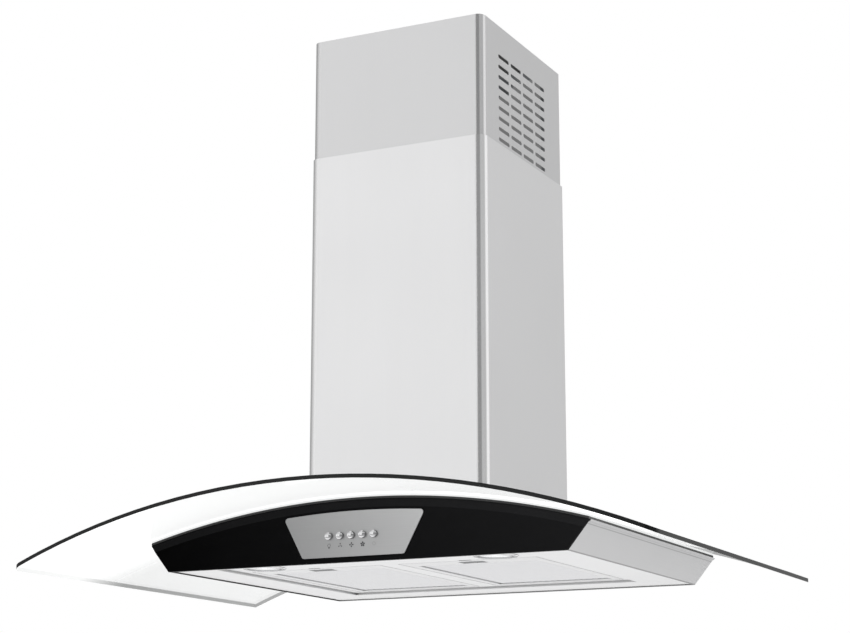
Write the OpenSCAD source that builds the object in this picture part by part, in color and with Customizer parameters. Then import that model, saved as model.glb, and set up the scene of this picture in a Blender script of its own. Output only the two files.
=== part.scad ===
// Island range hood with a curved glass canopy.
// Origin: centre of the ceiling plate's top face. +Z up, the fascia faces -Y, millimetres.

/* [Overall] */
// Height from the ceiling to the underside of the hood body
hood_h = 763; // [740:1:1000]

/* [Canopy glass] */
// Width of the glass across the arch
glass_w = 900; // [760:1:1100]
// Depth of the glass at its middle, front to back
glass_d = 640; // [560:1:780]
// Thickness of the toughened glass
glass_t = 5; // [4:0.5:8]
// Radius of the underside of the arch
glass_r = 1195; // [1000:1:1500]
// How far the glass reaches past the fascia at its middle
glass_overhang = 145.5; // [60:0.5:180]
// How far the front edge bows forward between its corners
glass_bulge = 17.5; // [5:0.5:40]
// Radius of the two front corners in plan
glass_corner_r = 14; // [4:1:30]

/* [Hood body] */
// Depth of the body, fascia included
body_d = 479; // [430:1:560]
// Width of the body where it meets the seal
body_w_top = 638; // [610:1:780]
// Width of the body along its bottom edge
body_w_bottom = 578; // [550:1:640]
// Height of the underside of the glass above the body's bottom edge, at the middle
crown_h = 86; // [82:1:130]
// Thickness of the rubber seal between body and glass
seal_t = 5.7; // [3:0.1:8]
// Width of the seal's frame
seal_w = 14; // [8:1:20]
// Steel sheet thickness of the body
sheet_t = 1; // [0.8:0.1:1.5]
// How far the hemmed top edge stands out past the end panels
hem_out = 1.5; // [0.5:0.1:3]
// Height of the hemmed top edge
hem_h = 3; // [2:0.5:5]

/* [Fascia and controls] */
// Thickness of the gloss fascia
fascia_t = 4; // [3:0.5:6]
// Height of the band along the fascia's top that leans back
fascia_band = 11; // [5:1:18]
// How far that band leans back at its top edge
fascia_lean = 2.5; // [0.5:0.1:3]
// Shift of the control plate from the middle of the fascia
control_shift = -7; // [-60:1:60]
// Width of the control plate along its top
control_w_top = 206; // [180:1:260]
// Width of the control plate along its bottom
control_w_bottom = 148; // [120:1:178]
// Thickness of the control plate
control_t = 1.5; // [1:0.5:3]
// Gap between the control plate's bottom edge and the body's bottom edge
control_low = 7; // [4:1:12]
// Gap between the control plate's top edge and the fascia's top edge, along the arch
control_top_gap = 14.5; // [11:0.5:20]
// Diameter of each push button
button_d = 9.2; // [7:0.1:12]
// Distance between neighbouring buttons
button_pitch = 16.4; // [14:0.1:22]
// Height of the buttons above the body's bottom edge
button_h = 34.5; // [28:0.5:42]
// How far a button's crown stands out of the control plate
button_out = 5; // [4:0.5:8]
// Travel of a button when it is pressed
button_travel = 3; // [2:0.5:3.5]

/* [Underside, filters and lamps] */
// Width of the stepped recess in the underside
recess_w = 450; // [440:1:500]
// How far the recess's front edge lies behind the fascia's face
recess_front = 20; // [14:1:30]
// How far the recess's back edge lies in front of the body's back
recess_back = 64; // [40:1:90]
// Depth of the step of the recess
recess_h = 3; // [2:0.5:6]
// Width of one grease filter
filter_w = 196; // [170:1:205]
// Depth of one grease filter, front to back
filter_d = 312; // [270:1:320]
// Thickness of a grease filter
filter_h = 9; // [8:0.5:12]
// Distance between the two filters
filter_gap = 28; // [20:1:30]
// Distance from the recess's back edge to the filters
filter_back = 15; // [10:1:25]
// Width of the filter latch's handle
latch_w = 35; // [28:1:50]
// Travel of the filter latch
latch_travel = 6; // [4:0.5:7]
// Diameter of a lamp ring
lamp_d = 58; // [50:1:62]
// Distance of each lamp from the middle
lamp_x = 170; // [130:1:185]
// Distance of the lamps behind the fascia's face
lamp_y = 52; // [50:1:58]

/* [Chimney] */
// Width of the lower chimney cover
chimney_w = 271; // [250:1:340]
// Depth of the lower chimney cover
chimney_d = 279; // [260:1:340]
// Steel thickness of the chimney covers
cover_t = 1; // [0.8:0.1:1.2]
// Outer radius of the lower cover's front corners
cover_r = 13; // [10:0.5:16]
// Gap between the lower cover and the upper one inside it
cover_gap = 0.8; // [0.6:0.1:1.5]
// Visible height of the upper cover between the ceiling and the lower cover
seam_drop = 176; // [165:1:300]
// Full height of the upper cover
upper_cover_h = 440; // [400:1:480]
// Width of the flanges that join the front and back covers
cover_flange = 15; // [12:1:20]
// Number of vent slot columns on each side
slot_cols = 4; // [1:1:4]
// Number of vent slot rows
slot_rows = 9; // [1:1:9]
// Length of a vent slot
slot_len = 36; // [20:1:38]
// Height of a vent slot
slot_h = 5.5; // [3:0.5:8]
// Distance between slot columns
slot_pitch_y = 42.7; // [40:0.1:50]
// Distance between slot rows
slot_pitch_z = 15.3; // [10:0.1:16]
// Distance from the ceiling to the highest row of slots
slot_top = 45; // [30:1:60]

/* [Ceiling frame] */
// Thickness of the ceiling plate
plate_t = 3; // [2:0.5:6]
// Distance between the ceiling bolt holes, both ways
mount_pitch = 220; // [214:1:222]
// Diameter of the ceiling bolt holes
mount_hole_d = 9; // [6:0.5:10]
// Side of the square duct opening in the ceiling plate
plate_hole = 200; // [160:1:202]
// Leg width of the upper frame rails
rail_leg = 26; // [24:1:32]
// Steel thickness of the frame rails
rail_t = 2; // [1.5:0.1:2.5]
// Gap between an upper and a lower rail
rail_gap = 0.4; // [0.3:0.1:0.8]
// Gap between the rails and the cover around them
rail_clear = 0.8; // [0.6:0.1:1.5]
// Distance from the ceiling to the foot of the upper rails
upper_rail_foot = 480; // [460:1:490]
// Distance from the ceiling to the top of the lower rails
lower_rail_top = 180; // [175:1:190]
// Diameter of the rail bolts
rail_bolt_d = 6; // [5:0.5:8]
// How far the hood can be lowered on its rails
drop_travel = 200; // [100:1:200]
// How far the hood can be raised on its rails
rise_travel = 80; // [40:1:80]

/* [Fan] */
// Height of the plenum neck above the glass
neck_h = 119; // [110:1:130]
// Steel thickness of the neck, the deck and the scroll casing
duct_sheet_t = 1.2; // [1:0.1:1.5]
// Outer diameter of the impeller
impeller_d = 152; // [120:1:154]
// Width of the impeller
impeller_w = 102; // [80:1:104]
// Number of blades
blade_count = 28; // [12:1:36]
// Distance of the fan's axis behind the middle of the chimney
fan_y = 30; // [24:1:32]
// Width of the scroll casing
scroll_w = 118; // [112:1:122]
// How much the scroll's radius grows each quarter turn
scroll_growth = 7; // [5:0.5:8]
// Diameter of the motor
motor_d = 84; // [70:1:90]
// Length of the motor
motor_len = 56; // [40:1:60]
// Diameter of the motor shaft
shaft_d = 8; // [6:0.5:10]
// Outer diameter of the outlet collar, which a 150 mm duct slides over
collar_d = 149; // [120:0.5:152]
// Height of the outlet collar
collar_h = 45; // [35:1:60]
// Diameter of the damper rod
rod_d = 4; // [3:0.5:6]

/* [Hidden] */

$fn = 96;
reach = 3000;      // longer than anything it cuts
eps = 0.01;        // overlap that makes two shapes of one piece a single solid
touch_gap = 0.1;   // gap between pieces that are clamped or glued together
slide_gap = 0.3;   // gap around a piece that slides
bore_gap = 0.05;   // radial gap of a pin or shaft that turns in a bore

// Heights
body_z = -hood_h;
glass_under = body_z + crown_h;
glass_top = glass_under + glass_t;
arch_z = glass_under - glass_r;
skin_r = glass_r - seal_t;
neck_top = glass_top + neck_h;

// Body
body_front = -body_d / 2;
body_back = body_d / 2;
fascia_back = body_front + fascia_t;
shell_front = fascia_back + touch_gap;
end_h = skin_r_at(body_w_top / 2) - body_z;
end_slope = (body_w_top - body_w_bottom) / 2 / end_h;
end_wall = sheet_t * sqrt(1 + end_slope * end_slope);

// Glass in plan
glass_front = body_front - glass_overhang;
bulge_r = (glass_w * glass_w / 4 + glass_bulge * glass_bulge) / (2 * glass_bulge);

// Covers and rails, from the outside in
upper_w = chimney_w - 2 * (cover_t + cover_gap);
upper_front = -chimney_d / 2 + cover_t + cover_gap;
cover_lap = touch_gap;
lower_back = chimney_d / 2 - cover_t - cover_lap;
upper_panel_out = lower_back - cover_t - cover_gap;
upper_back = upper_panel_out - cover_t - cover_lap;
upper_r = cover_r - cover_t - cover_gap;
rail_x = upper_w / 2 - cover_t - rail_clear;
rail_y = upper_back - cover_t - rail_clear;
rail_r = upper_r - cover_t - rail_clear;
lower_rail_x = rail_x - rail_t - rail_gap;
lower_rail_y = rail_y - rail_t - rail_gap;
lower_rail_r = rail_r - rail_t - rail_gap;
lower_rail_leg = rail_leg - rail_t - rail_gap;
rail_foot = glass_top + 4;
neck_x = lower_rail_x - rail_t - touch_gap;
neck_y = lower_rail_y - rail_t - touch_gap;
neck_r = max(lower_rail_r - rail_t, 0.5) + 0.5;
neck_foot = glass_under - 42;
glass_hole_gap = 2;
cover_foot_gap = 0.4;
bolt_z = -lower_rail_top - 50;
bolt_in = 14;

// Fan
fan_z = neck_top - impeller_d / 2 - 11;
scroll_r = impeller_d / 2 + 10;
scroll_c1 = [fan_y + scroll_growth / 2, fan_z - scroll_growth / 2];
scroll_c2 = scroll_c1 + [-scroll_growth, 0];
scroll_c3 = scroll_c1 + [-scroll_growth, scroll_growth];
throat_front = scroll_c3[0] - scroll_r - 2 * scroll_growth;
throat_back = fan_y - 8;
inlet_r = impeller_d / 2 - 14;
deck_top = neck_top + 1.5;
adapter_side = collar_d + 11;
adapter_h = 24;
collar_z = deck_top + touch_gap + adapter_h;
collar_t = 1.5;
rod_z = collar_z + 20;
flap_r = collar_d / 2 - collar_t - 1;
knuckle_r = rod_d / 2 + 1.2;
motor_x = scroll_w / 2 + 2.2;

// Underside
pan_z = body_z + 1.5;
recess_z = pan_z + recess_h;
recess_y0 = body_front + recess_front;
recess_y1 = body_back - recess_back;
filter_y1 = recess_y1 - filter_back;
filter_y0 = filter_y1 - filter_d;
filter_x0 = filter_gap / 2;
filter_play = 1.2;
filter_top = recess_z + filter_h;
ledge_w = 9;
ledge_z = filter_top + 0.5;
filter_rim = 12;
filter_front_rim = 34;
mesh_t = 1;
latch_d = 12;
latch_h = 5;
latch_y = filter_y0 + 12;
tongue_w = 16;
tongue_out = 4;
tongue_t = 2;
hinge_pin_d = 2.4;
hinge_y = filter_y1 - 2;
hinge_z = recess_z + 2;
lamp_cy = body_front + lamp_y;
lamp_sleeve_r = lamp_d / 2 - 3;

// Controls
button_z = body_z + button_h;
button_cx = control_shift - 2;
stem_r = button_d / 2 - 1.6;
switch_w = 5 * button_pitch + 10;
switch_front = shell_front + 8;
switch_d = 20;

steel = [0.84, 0.84, 0.85];
bright_steel = [0.9, 0.9, 0.91];
dark_steel = [0.55, 0.56, 0.58];
zinc = [0.7, 0.71, 0.73];
black = [0.05, 0.05, 0.055];
white_plastic = [0.9, 0.9, 0.88];

// Height of the body's top skin at a distance x from the middle
function skin_r_at(x) = arch_z + sqrt(skin_r * skin_r - x * x);

// Extrudes a shape drawn in X and Z from y0 to y1
module along_y(y0, y1) {
    translate([0, y1, 0]) rotate([90, 0, 0]) linear_extrude(y1 - y0) children();
}

// Extrudes a shape drawn in Y and Z from x0 to x1
module along_x(x0, x1) {
    translate([x0, 0, 0]) rotate([90, 0, 90]) linear_extrude(x1 - x0) children();
}

// A rod along X
module rod_x(x0, x1, y, z, r) {
    translate([x0, y, z]) rotate([0, 90, 0]) cylinder(r = r, h = x1 - x0);
}

// A rod along Y
module rod_y(y0, y1, x, z, r) {
    translate([x, y1, z]) rotate([90, 0, 0]) cylinder(r = r, h = y1 - y0);
}

module box(low, high) {
    translate(low) cube(high - low);
}

// Everything below a cylinder that has the arch's axis
module under_arch(r) {
    translate([0, 0, arch_z]) rotate([90, 0, 0]) cylinder(r = r, h = reach, center = true, $fn = 720);
}

module round_rect(w, d, r) {
    square([w - 2 * r, d], center = true);
    square([w, d - 2 * r], center = true);
    for (sx = [-1, 1], sy = [-1, 1])
        translate([sx * (w / 2 - r), sy * (d / 2 - r)]) circle(r);
}

module slot(len, h) {
    square([len - h, h], center = true);
    for (s = [-1, 1]) translate([s * (len - h) / 2, 0]) circle(h / 2);
}

module four_corners() {
    for (sx = [0, 1], sy = [0, 1]) mirror([sx, 0, 0]) mirror([0, sy, 0]) children();
}

// A screw along Z with a domed head below it and a cross recess in the head
module pan_head_screw(len, r, head_r, head_h) {
    recess = head_r * 1.1;
    recess_w = head_r * 0.22;
    cylinder(r = r, h = len);
    difference() {
        translate([0, 0, -head_h]) cylinder(r1 = head_r * 0.7, r2 = head_r, h = head_h);
        for (a = [0, 90])
            translate([0, 0, -head_h]) rotate(a) cube([recess, recess_w, head_h], center = true);
    }
}

// ---------------------------------------------------------------- ceiling frame

module ceiling_plate() {
    color(zinc) difference() {
        union() {
            translate([0, 0, -plate_t]) linear_extrude(plate_t)
                round_rect(2 * rail_x, 2 * rail_y, rail_r);
            for (s = [-1, 1])
                box([-60, s * (rail_y - 1) - 1, -22], [60, s * (rail_y - 1) + 1, -plate_t + eps]);
        }
        translate([0, 0, -plate_t / 2]) cube([plate_hole, plate_hole, plate_t + 1], center = true);
        four_corners() translate([mount_pitch / 2, mount_pitch / 2, -plate_t - 1])
            cylinder(r = mount_hole_d / 2, h = plate_t + 2);
        for (x = [-45, 45]) rod_y(0, reach, x, -13, 1.6);
    }
}

// A bent angle whose outer faces meet at the corner (x, y)
module angle_section(x, y, leg, r) {
    translate([x - leg, y - leg]) difference() {
        union() {
            square([leg, leg - r]);
            square([leg - r, leg]);
            translate([leg - r, leg - r]) circle(r);
        }
        translate([-1, -1]) square([leg - rail_t + 1, leg - r + 1]);
        translate([-1, -1]) square([leg - r + 1, leg - rail_t + 1]);
        translate([leg - r, leg - r]) circle(max(r - rail_t, 0.3));
    }
}

module upper_rails() {
    color(zinc) four_corners() difference() {
        translate([0, 0, -upper_rail_foot]) linear_extrude(upper_rail_foot - plate_t - touch_gap)
            angle_section(rail_x, rail_y, rail_leg, rail_r);
        along_x(rail_x - rail_t - 1, rail_x + 1)
            translate([rail_y - bolt_in, bolt_z + (rise_travel - drop_travel) / 2])
                rotate(90) slot(rise_travel + drop_travel + rail_bolt_d + 2, rail_bolt_d + 2 * slide_gap);
    }
}

// ---------------------------------------------------------------- chimney covers

module front_round(w, y0, y1, r) {
    translate([-w / 2 + r, y0]) square([w - 2 * r, y1 - y0]);
    translate([-w / 2, y0 + r]) square([w, y1 - y0 - r]);
    for (s = [-1, 1]) translate([s * (w / 2 - r), y0 + r]) circle(r);
}

// Front and sides of a cover in plan, with a flange turned in at each back edge
module cover_section(w, y0, y1, r) {
    difference() {
        front_round(w, y0, y1, r);
        front_round(w - 2 * cover_t, y0 + cover_t, y1 - cover_t, r - cover_t);
        translate([-w / 2 + cover_flange, 0]) square([w - 2 * cover_flange, chimney_d]);
    }
}

module cover_screw_holes(w, heights, r) {
    for (s = [-1, 1], z = heights) rod_y(0, reach, s * (w / 2 - cover_flange / 2 - 1), z, r);
}

module cover_screws(w, y_out, heights, head_h, tip) {
    for (s = [-1, 1], z = heights)
        translate([s * (w / 2 - cover_flange / 2 - 1), y_out, z]) rotate([90, 0, 0])
            pan_head_screw(2 * cover_t + cover_lap + tip, 1.5, 3.4, head_h);
}

upper_screw_z = [-30, -upper_cover_h + 20];
flat_head_h = cover_gap / 2 + 0.05;   // low heads that the lower cover slides over
lower_screw_z = [-seam_drop - 14, glass_under + 60];

module upper_cover_front() {
    color(steel) difference() {
        translate([0, 0, -upper_cover_h]) linear_extrude(upper_cover_h - touch_gap)
            cover_section(upper_w, upper_front, upper_back, upper_r);
        for (row = [0 : slot_rows - 1], col = [0 : slot_cols - 1])
            along_x(-upper_w, upper_w)
                translate([(col - (slot_cols - 1) / 2) * slot_pitch_y - 2, -slot_top - row * slot_pitch_z])
                    slot(slot_len, slot_h, $fn = 24);
        cover_screw_holes(upper_w, upper_screw_z, 1.6);
    }
}

module upper_cover_back() {
    color(steel) difference() {
        box([-upper_w / 2, upper_back + cover_lap, -upper_cover_h],
            [upper_w / 2, upper_panel_out, -touch_gap]);
        cover_screw_holes(upper_w, upper_screw_z, 1.6);
        for (x = [-45, 45]) rod_y(0, reach, x, -13, 1.6);
    }
}

module upper_cover_screws() {
    color(bright_steel) {
        cover_screws(upper_w, upper_panel_out, upper_screw_z, flat_head_h, rail_clear / 2);
        for (x = [-45, 45]) translate([x, upper_panel_out, -13]) rotate([90, 0, 0])
            pan_head_screw(upper_panel_out - rail_y + 3, 1.5, 3.4, flat_head_h);
    }
}

// The lower cover's foot follows the glass
module lower_cover_cut() {
    difference() {
        children();
        under_arch(glass_r + glass_t + cover_foot_gap);
    }
}

module lower_cover_front() {
    color(bright_steel) difference() {
        lower_cover_cut() translate([0, 0, body_z]) linear_extrude(hood_h - seam_drop)
            cover_section(chimney_w, -chimney_d / 2, lower_back, cover_r);
        cover_screw_holes(chimney_w, lower_screw_z, 1.6);
    }
}

module lower_cover_back() {
    color(bright_steel) difference() {
        lower_cover_cut() box([-chimney_w / 2, lower_back + cover_lap, body_z],
                              [chimney_w / 2, chimney_d / 2, -seam_drop]);
        cover_screw_holes(chimney_w, lower_screw_z, 1.6);
    }
}

module lower_cover_screws() {
    color(bright_steel) cover_screws(chimney_w, chimney_d / 2, lower_screw_z, 1.8, 0);
}

// ---------------------------------------------------------------- glass, seal and body

module glass_plan() {
    centre_y = glass_front + bulge_r;
    fillet_x = glass_w / 2 - glass_corner_r;
    inner_r = bulge_r - glass_corner_r;
    fillet_y = centre_y - sqrt(inner_r * inner_r - fillet_x * fillet_x);
    side = bulge_r / inner_r;
    difference() {
        intersection() {
            translate([0, centre_y]) circle(bulge_r, $fn = 720);
            translate([-glass_w / 2, glass_front - 1]) square([glass_w, glass_d + 1]);
        }
        for (s = [0, 1]) mirror([s, 0]) difference() {
            polygon([
                [fillet_x, fillet_y],
                [glass_w / 2 + 5, fillet_y],
                [glass_w / 2 + 5, fillet_y - 3 * glass_corner_r],
                [fillet_x * side, centre_y + (fillet_y - centre_y) * (side + 0.01)],
                [fillet_x * side, centre_y + (fillet_y - centre_y) * side]
            ]);
            translate([fillet_x, fillet_y]) circle(glass_corner_r);
        }
    }
}

module canopy_glass() {
    color([0.75, 0.85, 0.85, 0.35]) difference() {
        intersection() {
            translate([0, 0, arch_z]) linear_extrude(glass_r + reach) glass_plan();
            under_arch(glass_r + glass_t);
        }
        under_arch(glass_r);
        translate([0, 0, glass_under - 50]) linear_extrude(100)
            round_rect(2 * neck_x + 2 * glass_hole_gap, 2 * neck_y + 2 * glass_hole_gap, 4);
    }
}

module glass_seal() {
    outer_w = body_w_top - 2;
    outer_d = body_d - 2;
    color(black) difference() {
        intersection() {
            box([-outer_w / 2, -outer_d / 2, body_z], [outer_w / 2, outer_d / 2, glass_top]);
            under_arch(glass_r - touch_gap / 2);
        }
        under_arch(skin_r + touch_gap);
        box([-outer_w / 2 + seal_w, -outer_d / 2 + seal_w, body_z],
            [outer_w / 2 - seal_w, outer_d / 2 - seal_w, glass_top]);
    }
}

// End view of the body between its sloping ends, made smaller all round by inset
module end_trapezoid(inset) {
    low = body_w_bottom / 2 - inset - end_slope * 10;
    high = body_w_bottom / 2 - inset + end_slope * 150;
    polygon([[-low, body_z - 10], [low, body_z - 10], [high, body_z + 150], [-high, body_z + 150]]);
}

module body_block(inset, r, y0, y1, z0) {
    intersection() {
        along_y(y0, y1) intersection() {
            end_trapezoid(inset);
            translate([-reach / 2, z0]) square([reach, reach]);
        }
        under_arch(r);
    }
}

module hood_shell() {
    color(bright_steel) difference() {
        union() {
            body_block(0, skin_r, shell_front, body_back, body_z);
            difference() {
                body_block(-hem_out, skin_r, shell_front, body_back, body_z);
                under_arch(skin_r - hem_h);
            }
        }
        body_block(end_wall, skin_r - sheet_t, shell_front + sheet_t, body_back - sheet_t, body_z - 1);
        translate([0, 0, body_z + 20]) linear_extrude(hood_h)
            round_rect(2 * neck_x + 2 * touch_gap, 2 * neck_y + 2 * touch_gap, neck_r);
        box([button_cx - switch_w / 2 - 1, shell_front - 1, button_z - 12],
            [button_cx + switch_w / 2 + 1, shell_front + sheet_t + 1, button_z + 12]);
    }
}

module pan_opening(s, grow) {
    x0 = filter_x0 - filter_play + (s < 0 ? -filter_w - 2 * filter_x0 : 0);
    translate([x0 - grow, filter_y0 - filter_play - grow])
        square([filter_w + 2 * filter_play + 2 * grow, filter_d + 2 * filter_play + 2 * grow]);
}

module recess_plan(grow) {
    translate([-recess_w / 2 - grow, recess_y0 - grow])
        square([recess_w + 2 * grow, recess_y1 - recess_y0 + 2 * grow]);
}

module pan_rim_plan() {
    half = body_w_bottom / 2 - end_wall - touch_gap;
    y0 = shell_front + sheet_t + touch_gap;
    translate([-half, y0]) square([2 * half, body_back - sheet_t - touch_gap - y0]);
}

module underside_pan() {
    color(bright_steel) difference() {
        union() {
            translate([0, 0, pan_z]) linear_extrude(sheet_t) difference() {
                pan_rim_plan();
                recess_plan(0);
            }
            translate([0, 0, pan_z]) linear_extrude(recess_h + sheet_t) difference() {
                recess_plan(sheet_t);
                recess_plan(0);
            }
            translate([0, 0, recess_z]) linear_extrude(sheet_t) difference() {
                recess_plan(sheet_t / 2);
                for (s = [-1, 1]) pan_opening(s, 0);
            }
            for (s = [-1, 1]) {
                translate([0, 0, recess_z]) linear_extrude(ledge_z + sheet_t - recess_z) difference() {
                    pan_opening(s, sheet_t);
                    pan_opening(s, 0);
                }
                translate([0, 0, ledge_z]) linear_extrude(sheet_t) difference() {
                    pan_opening(s, sheet_t / 2);
                    pan_opening(s, -ledge_w);
                }
            }
        }
        for (s = [-1, 1]) {
            translate([s * lamp_x, lamp_cy, pan_z - 1]) cylinder(r = lamp_sleeve_r + slide_gap, h = 20);
            x_mid = s * (filter_x0 + filter_w / 2);
            box([x_mid - tongue_w / 2 - 1, filter_y0 - filter_play - sheet_t - tongue_out, recess_z - 1],
                [x_mid + tongue_w / 2 + 1, filter_y0, ledge_z - 1]);
            for (side = [-1, 1])
                rod_x(x_mid + side * (filter_w / 2 + 2) - 4, x_mid + side * (filter_w / 2 + 2) + 4,
                      hinge_y, hinge_z, hinge_pin_d / 2 + bore_gap);
        }
    }
}

module fascia_outline() {
    intersection() {
        end_trapezoid(0);
        translate([-reach / 2, body_z]) square([reach, reach]);
    }
}

module fascia() {
    color(black) difference() {
        intersection() {
            along_y(body_front, fascia_back) fascia_outline();
            translate([0, 0, arch_z]) rotate([-90, 0, 0]) rotate_extrude($fn = 720) polygon([
                [0, body_front],
                [skin_r - fascia_band, body_front],
                [skin_r, body_front + fascia_lean],
                [skin_r, fascia_back],
                [0, fascia_back]
            ]);
        }
        box([button_cx - 2.5 * button_pitch, body_front - 1, button_z - 8],
            [button_cx + 2.5 * button_pitch, fascia_back + 1, button_z + 8]);
    }
}

module control_outline() {
    low = control_w_bottom / 2;
    high = control_w_top / 2;
    z0 = body_z + control_low;
    z1 = arch_z + sqrt(pow(skin_r - control_top_gap, 2) - high * high);
    slope = (high - low) / (z1 - z0);
    intersection() {
        translate([control_shift, 0])
            polygon([[-low, z0], [low, z0], [low + slope * 90, z0 + 90], [-low - slope * 90, z0 + 90]]);
        translate([0, arch_z]) circle(skin_r - control_top_gap, $fn = 720);
    }
}

module control_plate() {
    color([0.72, 0.73, 0.74]) difference() {
        along_y(body_front - touch_gap - control_t, body_front - touch_gap)
            offset(r = 4, $fn = 32) offset(delta = -4) control_outline();
        for (i = [-2 : 2])
            rod_y(body_front - 10, body_front + 1, button_cx + i * button_pitch, button_z,
                  button_d / 2 + slide_gap);
    }
}

module button(i) {
    x = button_cx + i * button_pitch;
    face = body_front - touch_gap - control_t;
    translate([x, face, button_z]) rotate([90, 0, 0]) union() {
        translate([0, 0, -control_t - 2]) cylinder(r = button_d / 2, h = button_out + control_t + 0.5);
        translate([0, 0, button_out - 1.5]) intersection() {
            cylinder(r = button_d / 2, h = 3);
            translate([0, 0, -button_d + 1.5]) sphere(r = button_d, $fn = 64);
        }
        translate([0, 0, face - switch_front - 8]) cylinder(r = stem_r, h = switch_front + 8 - face);
    }
}

module button_light() color(bright_steel) button(-2);
module button_low() color(bright_steel) button(-1);
module button_medium() color(bright_steel) button(0);
module button_high() color(bright_steel) button(1);
module button_off() color(bright_steel) button(2);

module switch_block() {
    color(white_plastic) difference() {
        union() {
            box([button_cx - switch_w / 2, switch_front, button_z - 10],
                [button_cx + switch_w / 2, switch_front + switch_d, button_z + 10]);
            for (s = [-1, 1])
                box([button_cx + s * (switch_w / 2 + 7) - 7 - eps,
                     shell_front + sheet_t + touch_gap, button_z - 8],
                    [button_cx + s * (switch_w / 2 + 7) + 7 + eps, switch_front + 6, button_z + 8]);
        }
        for (i = [-2 : 2])
            rod_y(switch_front - 1, switch_front + 8 + button_travel + 1, button_cx + i * button_pitch,
                  button_z, stem_r + slide_gap);
    }
}

// ---------------------------------------------------------------- lamps

module lamp_ring(s) {
    color(bright_steel) translate([s * lamp_x, lamp_cy, recess_z]) rotate_extrude() polygon([
        [lamp_sleeve_r - 3, -1.5], [lamp_d / 2 - 1, -1.5], [lamp_d / 2, -0.8], [lamp_d / 2, -touch_gap],
        [lamp_sleeve_r, -touch_gap], [lamp_sleeve_r, 8], [lamp_sleeve_r - 1, 8], [lamp_sleeve_r - 1, 0.5],
        [lamp_sleeve_r - 3, 0.5]
    ]);
}

module lamp_lens(s) {
    r = lamp_sleeve_r - 1 - touch_gap;
    color([0.95, 0.97, 1, 0.6]) translate([s * lamp_x, lamp_cy, recess_z + 0.6])
        cylinder(r = r, h = 2.5);
}

module lamp_housing(s) {
    r = lamp_sleeve_r - 1 - touch_gap;
    color(white_plastic) translate([s * lamp_x, lamp_cy, recess_z]) rotate_extrude() polygon([
        [r - 2, 3.3], [r, 3.3], [r, 22], [9, 30], [0, 30], [0, 27.5], [8, 27.5], [r - 2, 21]
    ]);
}

module lamp_bulb(s) {
    color([1, 0.98, 0.9]) translate([s * lamp_x, lamp_cy, recess_z]) rotate_extrude() polygon([
        [0, 8], [12, 8], [17, 14], [9, 21], [4, 27.4], [0, 27.4]
    ]);
}

module lamp_ring_left() lamp_ring(-1);
module lamp_ring_right() lamp_ring(1);
module lamp_lens_left() lamp_lens(-1);
module lamp_lens_right() lamp_lens(1);
module lamp_housing_left() lamp_housing(-1);
module lamp_housing_right() lamp_housing(1);
module lamp_bulb_left() lamp_bulb(-1);
module lamp_bulb_right() lamp_bulb(1);

// ---------------------------------------------------------------- neck, deck and lower rails

module neck_plan(inset) {
    round_rect(2 * neck_x - 2 * inset, 2 * neck_y - 2 * inset, neck_r);
}

module plenum_neck() {
    flange = 14;
    color(zinc) difference() {
        union() {
            translate([0, 0, neck_foot]) linear_extrude(neck_top - neck_foot) neck_plan(0);
            intersection() {
                difference() {
                    under_arch(skin_r - sheet_t - touch_gap);
                    under_arch(skin_r - sheet_t - touch_gap - 1.5);
                }
                translate([0, 0, neck_foot]) linear_extrude(neck_top - neck_foot) neck_plan(-flange);
            }
        }
        translate([0, 0, body_z]) linear_extrude(hood_h) neck_plan(duct_sheet_t);
        foot_bolt_holes(1.55);
    }
}

// The places of the bolts that hold the lower rails to the neck
module at_foot_bolts() {
    four_corners() for (z = [rail_foot + 12, rail_foot + 70])
        translate([neck_x - duct_sheet_t, neck_y - 10, z]) rotate([0, 90, 0]) children();
}

module foot_bolt_holes(r) {
    at_foot_bolts() translate([0, 0, -1]) cylinder(r = r, h = rail_t + duct_sheet_t + 3);
}

module foot_bolts() {
    color(bright_steel) at_foot_bolts()
        pan_head_screw(rail_t + duct_sheet_t + touch_gap - 0.1, 1.5, 3.2, 2);
}

module deck_plate() {
    color(zinc) difference() {
        translate([0, 0, neck_top + touch_gap]) linear_extrude(deck_top - neck_top - touch_gap) neck_plan(0);
        box([-scroll_w / 2 - 0.3, throat_front - 0.3, neck_top - 1],
            [scroll_w / 2 + 0.3, throat_back + 0.3, deck_top + 1]);
        at_deck_screws() translate([0, 0, -5]) cylinder(r = 1.6, h = 10);
    }
}

module at_deck_screws() {
    for (s = [-1, 1], y = [throat_front + 12, throat_back - 12])
        translate([s * (scroll_w / 2 + 5), y, deck_top + 2.2]) children();
}

module deck_screws() {
    color(bright_steel) at_deck_screws() mirror([0, 0, 1]) pan_head_screw(5.6, 1.5, 3, 1.6);
}

module lower_rails() {
    color(zinc) four_corners() difference() {
        translate([0, 0, rail_foot]) linear_extrude(-lower_rail_top - rail_foot)
            angle_section(lower_rail_x, lower_rail_y, lower_rail_leg, lower_rail_r);
        rod_x(lower_rail_x - rail_t - 1, lower_rail_x + 1, rail_y - bolt_in, bolt_z, rail_bolt_d / 2 + 0.05);
        foot_bolt_holes(1.55);
    }
}

module rail_bolts() {
    color(bright_steel) four_corners() {
        inside = lower_rail_x - rail_t;
        rod_x(inside - 1, rail_x - 0.2, rail_y - bolt_in, bolt_z, rail_bolt_d / 2);
        translate([inside, rail_y - bolt_in, bolt_z]) rotate([0, -90, 0])
            cylinder(r = rail_bolt_d * 0.9, h = 4, $fn = 6);
    }
}

// ---------------------------------------------------------------- fan

// One quarter of the scroll in Y and Z; qy and qz say which quarter
module scroll_quarter(centre, r, qy, qz) {
    translate(centre) intersection() {
        circle(r);
        translate([qy < 0 ? -2 * r : 0, qz < 0 ? -2 * r : 0]) square(2 * r);
    }
}

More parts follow.
